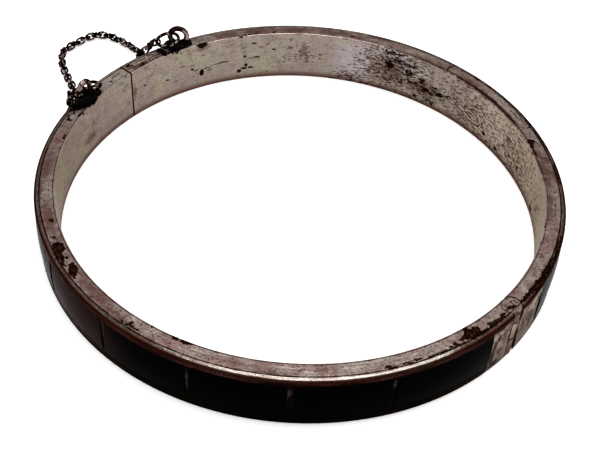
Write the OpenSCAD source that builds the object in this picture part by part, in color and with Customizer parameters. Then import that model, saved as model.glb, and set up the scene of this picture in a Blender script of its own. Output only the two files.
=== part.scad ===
// A hinged silver bangle, lying on its side. Its band is built up from a thin
// liner, two rim plates and two rails that hold a run of curved black stones
// let into the outer face, with a narrow silver bar between each two.
// A three-knuckle hinge joins the halves at one end and a tongue at the other,
// and a fine safety chain hangs from two soldered eyelets beside the clasp.
// The bangle's axis is Z, and it rests on the plane Z = 0.

/* [Band] */
// Inner diameter of the bangle
inner_d = 60; // [56:1:66]
// Height of the band, along the axis of the bangle
band_h = 7.4; // [6.8:0.1:9]
// Thickness of the band, from the inner wall to the outer face
wall = 2.45; // [2.3:0.05:2.8]
// Thickness of the liner, whose edge shows inside the rim
liner = 0.2; // [0.18:0.02:0.5]
// Width of the rim plate's rounded outer lip
lip_w = 0.66; // [0.5:0.02:0.7]
// Height of each rail, above and below the stones
rail_h = 1.04; // [0.9:0.02:1.3]

/* [Stones] */
// Depth of the channel that the stones lie in
channel_d = 0.8; // [0.6:0.05:0.9]
// Gap between a stone and the metal round it
stone_gap = 0.06; // [0.05:0.01:0.1]
// How far the middle of a stone stands out past its edges
stone_dome = 0.16; // [0.1:0.02:0.24]
// Width of the silver bar between two stones
bar_w = 0.45; // [0.35:0.05:0.6]
// Angle that one stone of the front half takes up
front_pitch = 19.7; // [19:0.1:20]
// Number of stones in the front half
front_stones = 8; // [8:1:8]
// Number of stones in the back half
back_stones = 8; // [8:1:8]
// Angle of the first bar of the front half, counted from the right
front_first_bar = -70; // [-70:0.5:-68]

/* [Hinge] */
// Angle of the hinge round the bangle, counted from the right
hinge_at = -40; // [-41:0.5:-39]
// Radius of the hinge's barrel
barrel_r = 1.18; // [1.12:0.02:1.18]
// Gap round the barrel and between its knuckles
hinge_gap = 0.1; // [0.08:0.01:0.12]
// Height of the lower knuckle, which is one with the front half
knuckle_low = 2.75; // [2.5:0.05:2.9]
// Height of the middle knuckle, which is one with the back half
knuckle_mid = 2.75; // [2.6:0.05:3]
// Width of the strip of barrel that shows on the outer face
barrel_strip = 1.66; // [1.5:0.02:1.7]
// Diameter of the hinge pin
pin_d = 0.9; // [0.7:0.05:1]
// Length of plain silver plate on the front half, from the hinge to the stones
front_plate = 4.3; // [4:0.1:4.5]
// Length of plain silver plate on the back half, from the hinge to the stones
back_plate = 5.35; // [5:0.05:5.5]

/* [Clasp] */
// Angle of the clasp's seam round the bangle, counted from the right
clasp_at = 143; // [142:0.5:144]
// Gap between the two halves at the clasp
clasp_gap = 0.14; // [0.1:0.02:0.2]
// Length of plain silver plate on each side of the clasp
clasp_plate = 4.8; // [4.6:0.1:5]
// Length of the hidden tongue
tongue_l = 5.6; // [5:0.2:6]
// Height of the hidden tongue
tongue_h = 4; // [3:0.2:4.4]
// Thickness of the hidden tongue
tongue_t = 0.9; // [0.7:0.05:1]

/* [Eyelets and rings] */
// Angle of the back half's eyelet round the bangle
back_eye_at = 125.6; // [125:0.1:126]
// Outer diameter of the back half's eyelet
back_eye_d = 3.06; // [3:0.02:3.1]
// Wire of the back half's eyelet
back_eye_wire = 0.72; // [0.7:0.01:0.74]
// Direction that the back half's eyelet faces across
back_eye_turn = 2; // [0:1:4]
// Angle of the front half's eyelet round the bangle
front_eye_at = 157; // [156.8:0.1:157.2]
// Outer diameter of the front half's eyelet
front_eye_d = 2.86; // [2.84:0.01:2.88]
// Wire of the front half's eyelet
front_eye_wire = 0.66; // [0.64:0.01:0.68]
// Direction that the front half's eyelet faces across
front_eye_turn = 62; // [61:1:63]
// Distance of both eyelets in from the outer face
eye_in = 0.75; // [0.7:0.05:0.8]
// Depth that an eyelet is let into the solder at its foot
eye_sunk = 0.25; // [0.2:0.05:0.3]

/* [Chain] */
// Length of a link
link_l = 1.74; // [1.72:0.01:1.76]
// Width of a link
link_w = 1.14; // [1.13:0.01:1.16]
// Wire of a link
link_wire = 0.25; // [0.22:0.01:0.26]
// Distance from one link to the next along the chain
link_pitch = 0.94; // [0.935:0.005:0.945]
// Turn of the chain about itself, from its first link to its last
chain_twist = 48; // [44:1:52]

/* [Hidden] */
$fn = 48;
inner_r = inner_d / 2;
outer_r = inner_r + wall;
mid_r = inner_r + wall / 2;
eye_r = outer_r - eye_in;
groove = 0.07;
lip_bevel = 0.13;
lip_round = 0.2;
lip_drop = 0.22;
under_lip = lip_bevel + lip_drop;
inner_round = 0.12;
channel_r = outer_r - channel_d;
hinge_r = mid_r;
relief_r = barrel_r + hinge_gap;
// Gap between the two halves' rims at the hinge
rim_gap = 0.12;
// Drop of the barrel's ends and of its strip below the faces round them
end_drop = 0.03;
strip_at = 0.8;
// Distance of the strip's back edge from the hinge's middle
strip_back = 0.72;
// Solder that joins a knuckle to its plate: its width, its reach past the
// knuckle's middle, and its reach in and out
solder_w = 0.85;
solder_past = 0.4;
solder_in = 0.9;
solder_out = 1.12;
// Pin: its gap, and the distance of its ends and its bore's end from the rims
pin_gap = 0.08;
pin_low = 0.2;
pin_drop = 0.55;
bore_drop = 0.4;
tongue_gap = 0.1;
// Foot of an eyelet: its width to its wire, its depth and its height
foot_scale = 0.95;
foot_sunk = 0.2;
foot_h = 0.22;
// Angle of an arc of a length on the outer face
function deg_of(length) = length / outer_r * 180 / PI;
front_run_end = hinge_at - deg_of(front_plate);
front_run_start = clasp_at - 360 + deg_of(clasp_plate);
back_run_start = hinge_at + deg_of(back_plate);
back_run_end = clasp_at - deg_of(clasp_plate);
bar_deg = deg_of(bar_w);

// Bounds of the stones, as angles, from the hinge to the clasp
front_bounds = concat([front_run_end],
    [for (k = [0 : front_stones - 2]) front_first_bar - k * front_pitch],
    [front_run_start]);
back_pitch = (back_run_end - back_run_start) / back_stones;
back_bounds = [for (k = [0 : back_stones]) back_run_start + k * back_pitch];

silver = [0.62, 0.58, 0.55];
onyx = [0.03, 0.03, 0.035];
dark_silver = [0.3, 0.25, 0.22];

// Upper half of the band's section: inner corner, liner edge with its seam,
// rim plate with its seam, bevelled and rounded lip, then the seam under the lip
function upper_section(h) = concat(
    [[inner_r, h - inner_round], [inner_r + inner_round / 3, h - inner_round / 3],
     [inner_r + inner_round, h]],
    [[inner_r + liner - groove / 2, h], [inner_r + liner, h - groove],
     [inner_r + liner + groove / 2, h]],
    [[outer_r - lip_w - groove, h], [outer_r - lip_w, h - groove * 1.3],
     [outer_r - lip_w + groove, h - 0.01]],
    [for (a = [60 : -15 : 0])
        [outer_r - lip_round * (1 - cos(a)), h - lip_bevel - lip_drop * (1 - sin(a))]],
    [[outer_r, h - under_lip - 0.05], [outer_r - groove, h - under_lip - 0.11],
     [outer_r - 0.01, h - under_lip - 0.17]]);

// The whole section, the lower half a mirror image of the upper one
function band_section() = let(up = upper_section(band_h))
    concat(up, [for (k = [len(up) - 1 : -1 : 0]) [up[k].x, band_h - up[k].y]]);

module arc(from, to) {
    rotate_extrude(angle = to - from, start = from, $fn = 240) children();
}

// The band between two angles, with its channel cut and the bars left in it
module band(from, to, run_from, run_to, bars) {
    difference() {
        arc(from, to) polygon(band_section());
        arc(run_from, run_to)
            translate([channel_r, rail_h])
            square([channel_d + 1, band_h - 2 * rail_h]);
    }
    for (a = bars)
        arc(a - bar_deg / 2, a + bar_deg / 2)
            translate([channel_r - 0.1, rail_h - 0.1])
            square([channel_d + 0.06, band_h - 2 * rail_h + 0.2]);
}

// Puts its children at the hinge: X outward, Y toward the back half
module at_hinge() {
    rotate([0, 0, hinge_at]) translate([hinge_r, 0, 0]) children();
}

// One knuckle, with the solder that joins it to the plate on one side
module knuckle(z0, z1, side) {
    at_hinge() {
        translate([0, 0, z0]) cylinder(r = barrel_r, h = z1 - z0);
        translate([-solder_in, side > 0 ? -solder_past : -solder_w, z0])
            cube([solder_in + solder_out, solder_w + solder_past, z1 - z0]);
    }
}

// Room round the other half's knuckle
module relief(z0, z1) {
    at_hinge() translate([0, 0, z0]) cylinder(r = relief_r, h = z1 - z0);
}

// The strip of the outer face that the barrel shows through
module strip_cut() {
    at_hinge() translate([strip_at, strip_back - barrel_strip, -1])
        cube([2, barrel_strip, band_h + 2]);
}

module pin_bore() {
    at_hinge() translate([0, 0, -1])
        cylinder(d = pin_d + 2 * pin_gap, h = band_h + 1 - bore_drop);
}

// An upright soldered loop on the rim, with its foot
module eyelet(at, d, wire, turn) {
    translate([eye_r * cos(at), eye_r * sin(at), 0]) {
        translate([0, 0, band_h - eye_sunk + d / 2]) rotate([90, 0, turn])
            rotate_extrude() translate([(d - wire) / 2, 0]) circle(d = wire);
        translate([0, 0, band_h - foot_sunk])
            cylinder(r = wire * foot_scale, h = foot_sunk + foot_h);
    }
}

// A pocket for the tongue, between two angles
module tongue_arc(from, to, gap) {
    arc(from, to) translate([mid_r - tongue_t / 2 - gap, (band_h - tongue_h) / 2 - gap])
        square([tongue_t + 2 * gap, tongue_h + 2 * gap]);
}
tongue_deg = deg_of(tongue_l);
clasp_half_gap = deg_of(clasp_gap) / 2;
split = deg_of(rim_gap) / 2;
z_low = knuckle_low;
z_mid = knuckle_low + knuckle_mid;

module front_half() {
    color(silver) {
        difference() {
            union() {
                difference() {
                    band(clasp_at + clasp_half_gap, hinge_at + 360 - split,
                        front_run_start + 360, front_run_end + 360,
                        [for (k = [1 : front_stones - 1]) front_bounds[k] + 360]);
                    relief(z_low - hinge_gap / 2, z_mid + hinge_gap / 2);
                    strip_cut();
                }
                knuckle(end_drop, z_low - hinge_gap / 2, -1);
                knuckle(z_mid + hinge_gap / 2, band_h - end_drop, -1);
            }
            pin_bore();
            tongue_arc(clasp_at, clasp_at + tongue_deg / 2 + 0.2, tongue_gap);
            // Pits in the solder that closes the hinge
            at_hinge() {
                translate([-0.33, 0.32, band_h - 0.25]) cylinder(d = 0.3, h = 1, $fn = 16);
                translate([0.33, -0.05, band_h - 0.22]) cylinder(d = 0.34, h = 1, $fn = 16);
                translate([0.4, 0.2, band_h - 0.22]) cylinder(d = 0.26, h = 1, $fn = 16);
            }
        }
        eyelet(front_eye_at, front_eye_d, front_eye_wire, front_eye_turn);
    }
}

module back_half() {
    color(silver) {
        difference() {
            union() {
                difference() {
                    band(hinge_at + split, clasp_at - clasp_half_gap,
                        back_run_start, back_run_end,
                        [for (k = [1 : back_stones - 1]) back_bounds[k]]);
                    relief(-1, z_low + hinge_gap / 2);
                    relief(z_mid - hinge_gap / 2, band_h + 1);
                    strip_cut();
                }
                knuckle(z_low + hinge_gap / 2, z_mid - hinge_gap / 2, 1);
            }
            pin_bore();
            tongue_arc(clasp_at - tongue_deg / 2 - 0.2, clasp_at, tongue_gap);
        }
        eyelet(back_eye_at, back_eye_d, back_eye_wire, back_eye_turn);
    }
}

module hinge_pin() {
    color(dark_silver) at_hinge() translate([0, 0, pin_low])
        cylinder(d = pin_d, h = band_h - pin_low - pin_drop);
}

module clasp_tongue() {
    color(silver) tongue_arc(clasp_at - tongue_deg / 2, clasp_at + tongue_deg / 2, 0);
}

// One curved stone between two bounds, its outer face slightly domed
module stone(a, b, end_a, end_b) {
    gap_deg = deg_of(stone_gap);
    from = min(a, b) + (end_a ? 0 : bar_deg / 2) + gap_deg;
    to = max(a, b) - (end_b ? 0 : bar_deg / 2) - gap_deg;
    half = band_h / 2 - rail_h - stone_gap;
    dome_r = (half * half + stone_dome * stone_dome) / (2 * stone_dome);
    color(onyx) arc(from, to) intersection() {
        translate([channel_r + stone_gap, band_h / 2 - half])
            square([channel_d + 1, 2 * half]);
        translate([outer_r + stone_dome - 0.03 - dome_r, band_h / 2])
            circle(r = dome_r, $fn = 360);
    }
}

module front_stone(k) {
    stone(front_bounds[k], front_bounds[k + 1], k == front_stones - 1, k == 0);
}

module back_stone(k) {
    stone(back_bounds[k], back_bounds[k + 1], k == 0, k == back_stones - 1);
}

// A direction, from its angle round Z and its rise
function along(az, rise) = [cos(az) * cos(rise), sin(az) * cos(rise), sin(rise)];
function level(az) = [-sin(az), cos(az), 0];
function unit(v) = v / norm(v);
// The other direction of a ring's plane, tilted down by an angle
function across(az, rise, tilt) =
    cos(tilt) * level(az) - sin(tilt) * cross(along(az, rise), level(az));
function eye_hole(at, d, drop) =
    [eye_r * cos(at), eye_r * sin(at), band_h - eye_sunk + d / 2 - drop];

// Rings, by their columns: point that the wire passes through, angle round Z,
// rise, tilt, radius of the wire's middle, wire, and where on the ring that point is
back_ring = [eye_hole(back_eye_at, back_eye_d, 0.34), 9.5, 10, 0, 1.54, 0.46, 0];
front_ring = [eye_hole(front_eye_at, front_eye_d, -0.2), 25, -3, 14, 1.2, 0.42, 202];

function ring_point(r, at) = r[4] * (cos(at) * along(r[1], r[2])
    + sin(at) * across(r[1], r[2], r[3]));
function ring_centre(r) = r[0] - ring_point(r, r[6]);

// Puts its children with X and Y along two directions from a point
module frame(p, x, y) {
    z = cross(x, y);
    multmatrix([[x.x, y.x, z.x, p.x], [x.y, y.y, z.y, p.y],
                [x.z, y.z, z.z, p.z], [0, 0, 0, 1]]) children();
}

module ring(r) {
    color(dark_silver) frame(ring_centre(r), along(r[1], r[2]), across(r[1], r[2], r[3]))
        rotate_extrude() translate([r[4], 0]) circle(d = r[5], $fn = 24);
}

// A wire link: two half rings joined by two straight lengths
module link(l, w, wire) {
    bend = (w - wire) / 2;
    straight = l - w;
    for (side = [0, 180]) rotate([0, 0, side]) {
        translate([straight / 2, 0]) rotate_extrude(angle = 180, start = -90)
            translate([bend, 0]) circle(d = wire, $fn = 20);
        translate([-straight / 2, bend]) rotate([0, 90, 0])
            cylinder(d = wire, h = straight, $fn = 20);
    }
}

module back_jump_ring() { ring(back_ring); }
module front_jump_ring() { ring(front_ring); }

// The larger link that ties the chain to the front eyelet, hung on its near leg
end_l = 2.66;
end_w = 1.62;
end_wire = 0.3;
end_in = 0.66;
end_x = along(152, -25);
end_y = unit(level(152) - (level(152) * end_x) * end_x);
end_leg = eye_hole(front_eye_at, front_eye_d, 0.15)
    - ((front_eye_d - front_eye_wire) / 2 - 0.01) * along(front_eye_turn, 0);
end_tip = end_leg + (end_l - end_wire - end_in) * end_x;

module chain_end_link() {
    color(dark_silver) frame(end_leg + ((end_l - end_wire) / 2 - end_in) * end_x, end_x, end_y)
        link(end_l, end_w, end_wire);
}

// Course of the chain, from the back ring down past the rim, out over the
// resting surface in a bow, and back up to the front eyelet. Columns: angle
// round the bangle, distance out from its outer face, height
lying = 0.62;
course = [
    [131.6, 0.85, 7.7], [133.6, 1.15, 6.6], [135.2, 1.35, 4.8], [135.9, 1.65, 3.3],
    [135.8, 2.35, 1.9], [134.6, 3.45, 1.0], [132.2, 4.85, 0.7], [129.4, 6.85, lying],
    [128.0, 9.15, lying], [128.5, 11.15, lying], [129.3, 13.45, lying], [130.6, 15.65, lying],
    [132.7, 16.55, lying], [135.2, 16.45, lying], [137.6, 16.25, lying], [139.4, 15.75, lying],
    [140.9, 14.45, lying], [142.6, 12.45, lying], [144.4, 9.75, lying], [146.5, 6.95, lying],
    [149.5, 4.45, lying], [153.0, 2.75, 1.0], [155.8, 1.85, 2.3], [157.6, 1.45, 4.2],
    [158.4, 1.15, 6.2]];
hook_at = 185;
hook = ring_centre(back_ring) + ring_point(back_ring, hook_at);
hook_tangent = unit(ring_point(back_ring, hook_at + 90));
way = [for (p = course)
    [(outer_r + p[1]) * cos(p[0]), (outer_r + p[1]) * sin(p[0]), p[2]]];
overlap = 0.2;
knots = concat([hook - overlap * unit(way[0] - hook)], way,
    [end_tip + overlap * unit(end_tip - way[len(way) - 1])]);

// A smooth curve through four neighbouring knots
function blend(a, b, c, d, t) = 0.5 * (2 * b + (c - a) * t
    + (2 * a - 5 * b + 4 * c - d) * t * t + (3 * b - a - 3 * c + d) * t * t * t);
steps = 12;
last = len(knots) - 1;
// The course as closely set points, and the length of chain up to each of them
fine = concat([for (k = [0 : last - 1], t = [0 : steps - 1])
    blend(knots[max(k - 1, 0)], knots[k], knots[k + 1], knots[min(k + 2, last)],
        t / steps)], [knots[last]]);
run = [for (k = 0, s = 0; k < len(fine); k = k + 1,
    s = s + (k < len(fine) ? norm(fine[k] - fine[k - 1]) : 0)) s];
run_length = run[len(fine) - 1];
links = 2 * round(run_length / link_pitch / 2);
tables = [for (axis = [0 : 2]) [for (k = [0 : len(fine) - 1]) [run[k], fine[k][axis]]]];
joints = [for (i = [0 : links])
    [for (axis = [0 : 2]) lookup(i * run_length / links, tables[axis])]];
ways = [for (i = [0 : links - 1]) unit(joints[i + 1] - joints[i])];
// Each link's side direction, carried along the chain without turning
function carried(v, d) = unit(v - (v * d) * d);
sides = [for (i = 0, v = carried(hook_tangent, ways[0]); i < links; i = i + 1,
    v = i < links ? carried(v, ways[i]) : v) v];

module safety_chain() {
    color(dark_silver) for (i = [0 : links - 1]) {
        turn = (i % 2) * 90 + chain_twist * i / (links - 1);
        n = cos(turn) * sides[i] + sin(turn) * cross(ways[i], sides[i]);
        frame((joints[i] + joints[i + 1]) / 2, ways[i], cross(n, ways[i]))
            link(link_l, link_w, link_wire);
    }
}

front_half();
back_half();
hinge_pin();
clasp_tongue();
front_stone(0);  // front_stone_1
front_stone(1);  // front_stone_2
front_stone(2);  // front_stone_3
front_stone(3);  // front_stone_4
front_stone(4);  // front_stone_5
front_stone(5);  // front_stone_6
front_stone(6);  // front_stone_7
front_stone(7);  // front_stone_8
back_stone(0);  // back_stone_1
back_stone(1);  // back_stone_2
back_stone(2);  // back_stone_3
back_stone(3);  // back_stone_4
back_stone(4);  // back_stone_5
back_stone(5);  // back_stone_6
back_stone(6);  // back_stone_7
back_stone(7);  // back_stone_8
back_jump_ring();
front_jump_ring();
chain_end_link();
safety_chain();
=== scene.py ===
# %% [markdown]
# A hinged silver bangle with black stones, lying on a pale table with its safety
# chain beside it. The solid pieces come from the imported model, true to size, so
# this lesson is about their surfaces: worn silver, brown and black tarnish,
# burnt solder and polished stone, and about the light that shows them.

# %% Load the frame
import math
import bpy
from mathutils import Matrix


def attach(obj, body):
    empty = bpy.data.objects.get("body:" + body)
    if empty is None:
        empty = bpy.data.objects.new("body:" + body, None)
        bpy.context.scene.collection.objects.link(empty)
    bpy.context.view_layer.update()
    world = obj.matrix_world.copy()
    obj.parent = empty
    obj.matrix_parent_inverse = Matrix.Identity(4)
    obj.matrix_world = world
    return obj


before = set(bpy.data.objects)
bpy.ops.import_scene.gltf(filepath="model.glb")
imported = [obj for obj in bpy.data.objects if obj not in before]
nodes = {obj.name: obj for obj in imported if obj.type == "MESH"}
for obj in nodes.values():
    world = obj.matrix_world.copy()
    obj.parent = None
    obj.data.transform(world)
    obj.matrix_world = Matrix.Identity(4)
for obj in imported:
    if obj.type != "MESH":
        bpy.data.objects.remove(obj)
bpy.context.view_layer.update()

from types import SimpleNamespace

import bpy
import bmesh
from mathutils import Matrix, Vector, noise

scene = bpy.context.scene
print(len(nodes), "solids:", ", ".join(sorted(nodes)))

# %% [markdown]
# Sizes are in millimetres, as a jeweller would write them, and become metres only
# where a mesh, a lamp or the camera needs them. The finish depends on where a
# point lies on the band, so the band's own sizes come first.

# %% Sizes of the band
MM = 0.001
INNER_R = 30.0
WALL = 2.45
OUTER_R = INNER_R + WALL
MID_R = INNER_R + WALL / 2
BAND_H = 7.4
RAIL_H = 1.04
CLASP_AT = 143.0
HINGE_AT = -40.0
print("band", 2 * INNER_R, "mm inside,", WALL, "mm thick,", BAND_H, "mm high")

# %% [markdown]
# The photograph was taken from in front and above, with a slight roll of the
# camera. Building the camera's matrix from its own right, upward and forward
# directions keeps that roll, where a look-at constraint would level it.

# %% Camera
camera_at = Vector((0.0, -99.715, 94.469)) * MM
rightward = Vector((0.99811, 0.0413, 0.04547))
upward = Vector((-0.0614, 0.69312, 0.71821))
forward = Vector((0.00185, 0.71964, -0.69434))

camera_data = bpy.data.cameras.new("camera")
camera_data.sensor_fit = "HORIZONTAL"
camera_data.sensor_width = 36.0
camera_data.lens = 64.24
camera_data.shift_x = -0.0012
camera_data.clip_start = 0.005
camera = bpy.data.objects.new("camera", camera_data)
scene.collection.objects.link(camera)
turned = Matrix((rightward, upward, -forward)).transposed().to_4x4()
camera.matrix_world = Matrix.Translation(camera_at) @ turned
scene.camera = camera
print("camera", round(camera_at.length / MM), "mm from the middle of the bangle")

# %% [markdown]
# Shader graphs grow long, so a few helpers keep each material readable. Every
# helper takes sockets or plain numbers, makes one node and returns its output,
# which reads like a formula instead of a page of node and link calls.

# %% Helpers for shader graphs
def feed(tree, socket, value):
    if isinstance(value, bpy.types.NodeSocket):
        tree.links.new(value, socket)
    else:
        socket.default_value = value


def calc(tree, operation, *values, clamp=False):
    node = tree.nodes.new("ShaderNodeMath")
    node.operation = operation
    node.use_clamp = clamp
    for socket, value in zip(node.inputs, values):
        feed(tree, socket, value)
    return node.outputs[0]


def vec(tree, operation, *values):
    node = tree.nodes.new("ShaderNodeVectorMath")
    node.operation = operation
    for socket, value in zip(node.inputs, values):
        feed(tree, socket, value)
    return node.outputs["Value" if operation == "LENGTH" else "Vector"]


def ramp(tree, value, low, high, to_low=0.0, to_high=1.0):
    node = tree.nodes.new("ShaderNodeMapRange")
    node.interpolation_type = "SMOOTHSTEP"
    for name, number in (("Value", value), ("From Min", low), ("From Max", high),
                         ("To Min", to_low), ("To Max", to_high)):
        feed(tree, node.inputs[name], number)
    return node.outputs["Result"]


def mix(tree, factor, first, second):
    node = tree.nodes.new("ShaderNodeMix")
    node.data_type = "RGBA"
    feed(tree, node.inputs["Factor"], factor)
    feed(tree, node.inputs["A"], rgba(first))
    feed(tree, node.inputs["B"], rgba(second))
    return node.outputs["Result"]


def rgba(colour):
    return colour + (1.0,) if isinstance(colour, tuple) and len(colour) == 3 else colour


def grain(tree, vector, scale, detail, rough):
    node = tree.nodes.new("ShaderNodeTexNoise")
    feed(tree, node.inputs["Vector"], vector)
    for name, number in (("Scale", scale), ("Detail", detail), ("Roughness", rough)):
        feed(tree, node.inputs[name], number)
    return node.outputs["Fac"]


def split(tree, vector):
    node = tree.nodes.new("ShaderNodeSeparateXYZ")
    feed(tree, node.inputs[0], vector)
    return node.outputs[0], node.outputs[1], node.outputs[2]


def join(tree, x, y, z):
    node = tree.nodes.new("ShaderNodeCombineXYZ")
    for socket, value in zip(node.inputs, (x, y, z)):
        feed(tree, socket, value)
    return node.outputs[0]


def new_group(name, inputs, outputs):
    tree = bpy.data.node_groups.new(name, "ShaderNodeTree")
    for title, kind, start in inputs:
        socket = tree.interface.new_socket(title, in_out="INPUT", socket_type=kind)
        if start is not None:
            socket.default_value = start
    for title, kind in outputs:
        tree.interface.new_socket(title, in_out="OUTPUT", socket_type=kind)
    return tree, tree.nodes.new("NodeGroupInput"), tree.nodes.new("NodeGroupOutput")


def use(tree, group, **values):
    node = tree.nodes.new("ShaderNodeGroup")
    node.node_tree = group
    for name, value in values.items():
        feed(tree, node.inputs[name.replace("_", " ")], value)
    return node


FLOAT, VECTOR = "NodeSocketFloat", "NodeSocketVector"
print("helpers for shader graphs ready")

# %% [markdown]
# A jeweller thinks of a place on a bangle as how far round it is, how far out and
# how high. The first group turns object coordinates into those three, in
# millimetres. An angle always jumps somewhere, so the jump is turned to the seam
# of the clasp, where the two halves' finishes are separate anyway.

# %% Group: place on the band
WRAP = math.radians(180.0 - CLASP_AT)

band_place, into, out = new_group(
    "band_place", [], [("Place", VECTOR), ("Solid", VECTOR)])
coordinates = band_place.nodes.new("ShaderNodeTexCoord").outputs["Object"]
in_mm = vec(band_place, "MULTIPLY", coordinates, (1 / MM,) * 3)
x, y, z = split(band_place, in_mm)
turned_x = calc(band_place, "SUBTRACT", calc(band_place, "MULTIPLY", x, math.cos(WRAP)),
                calc(band_place, "MULTIPLY", y, math.sin(WRAP)))
turned_y = calc(band_place, "ADD", calc(band_place, "MULTIPLY", x, math.sin(WRAP)),
                calc(band_place, "MULTIPLY", y, math.cos(WRAP)))
round_mm = calc(band_place, "MULTIPLY", calc(band_place, "ARCTAN2", turned_y, turned_x), MID_R)
radius = vec(band_place, "LENGTH", join(band_place, x, y, 0.0))
band_place.links.new(join(band_place, round_mm, radius, z), out.inputs["Place"])
band_place.links.new(in_mm, out.inputs["Solid"])


def round_at(degrees):
    """How far round the band an angle lies, in mm, as the group counts it."""
    counted = (degrees - CLASP_AT) % 360.0 + CLASP_AT - 360.0
    return (math.radians(counted) + WRAP) * MID_R


print("the hinge lies", round(round_at(HINGE_AT), 1), "mm round the band")

# %% [markdown]
# Tarnish never has a clean outline. Pushing the place about with two noises, one
# coarse and one fine, before any stain is drawn makes every outline ragged at
# once, which is cheaper and more even than roughening each stain by itself.

# %% Group: ragged place
ragged_place, into, out = new_group(
    "ragged_place",
    [("Place", VECTOR, None), ("Solid", VECTOR, None), ("Coarse", FLOAT, 0.5), ("Fine", FLOAT, 0.2)],
    [("Place", VECTOR)])


def wander(tree, vector, scale, amount):
    node = tree.nodes.new("ShaderNodeTexNoise")
    feed(tree, node.inputs["Vector"], vector)
    node.inputs["Scale"].default_value = scale
    node.inputs["Detail"].default_value = 2.0
    centred = vec(tree, "SUBTRACT", node.outputs["Color"], (0.5, 0.5, 0.5))
    scaled = tree.nodes.new("ShaderNodeVectorMath")
    scaled.operation = "SCALE"
    tree.links.new(centred, scaled.inputs[0])
    feed(tree, scaled.inputs["Scale"], amount)
    return scaled.outputs["Vector"]


coarse = wander(ragged_place, into.outputs["Solid"], 1.3, into.outputs["Coarse"])
fine = wander(ragged_place, into.outputs["Solid"], 5.0, into.outputs["Fine"])
moved = vec(ragged_place, "ADD", vec(ragged_place, "ADD", into.outputs["Place"], coarse), fine)
ragged_place.links.new(moved, out.inputs["Place"])
print("a ragged place takes", len(ragged_place.nodes), "nodes")

# %% [markdown]
# One stain is a soft ellipsoid: it is strongest in its middle and fades with the
# distance from there, measured in the stain's own half sizes. A chart of them,
# read off the photograph with a ruler round the band, then puts each mark
# where the real bangle has it. Five small nodes a stain keep the render quick.

# %% Group: one stain
stain, into, out = new_group(
    "stain",
    [("Place", VECTOR, None), ("Middle", VECTOR, None), ("Half size", VECTOR, None),
     ("Strength", FLOAT, 1.0), ("So far", FLOAT, 0.0)],
    [("Mask", FLOAT)])
offset = vec(stain, "SUBTRACT", into.outputs["Place"], into.outputs["Middle"])
away = vec(stain, "LENGTH", vec(stain, "DIVIDE", offset, into.outputs["Half size"]))
fading = calc(stain, "SUBTRACT", into.outputs["Strength"], away)
stain.links.new(calc(stain, "MAXIMUM", fading, into.outputs["So far"]), out.inputs["Mask"])


def chart(name, rows):
    """Two groups, one for each half of the bangle, that hold a chart of stains.
    Rows: angle, radius, height; half length round, half depth, half height; and
    a strength, where the stain is weaker or stronger than the rest."""
    halves = {}
    for half in ("front", "back"):
        tree, place_in, mask_out = new_group(f"{name}_{half}", [("Place", VECTOR, None)],
                                             [("Mask", FLOAT)])
        mask = 0.0
        for angle, radius, height, long, deep, tall, *strength in rows:
            if (round_at(angle) < round_at(HINGE_AT)) != (half == "front"):
                continue
            spot = use(tree, stain, Place=place_in.outputs["Place"],
                       Middle=(round_at(angle), radius, height),
                       Half_size=(long, deep, tall), Strength=sum(strength) or 1.0,
                       So_far=mask)
            mask = spot.outputs["Mask"]
        feed(tree, mask_out.inputs["Mask"], mask)
        halves[half] = tree
    print(name, "holds", len(rows), "marks")
    return halves


print("a stain takes", len(stain.nodes), "nodes")

# %% [markdown]
# The darkest marks are crusts of old tarnish and burnt flux on the rim: beside the
# hinge and at the left, and along the outer seam. They are thinner than paper, so
# they are drawn as stains here, and only a faint relief lifts them later. Rows that
# share a height leave it out, and a helper puts it back.

# %% Chart: dark crust on the rim
def at_height(height, tall, rows):
    """Full rows from rows of angle, radius, half length, half depth and strength."""
    return [(angle, radius, height, long, deep, tall, *strength)
            for angle, radius, long, deep, *strength in rows]


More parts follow.
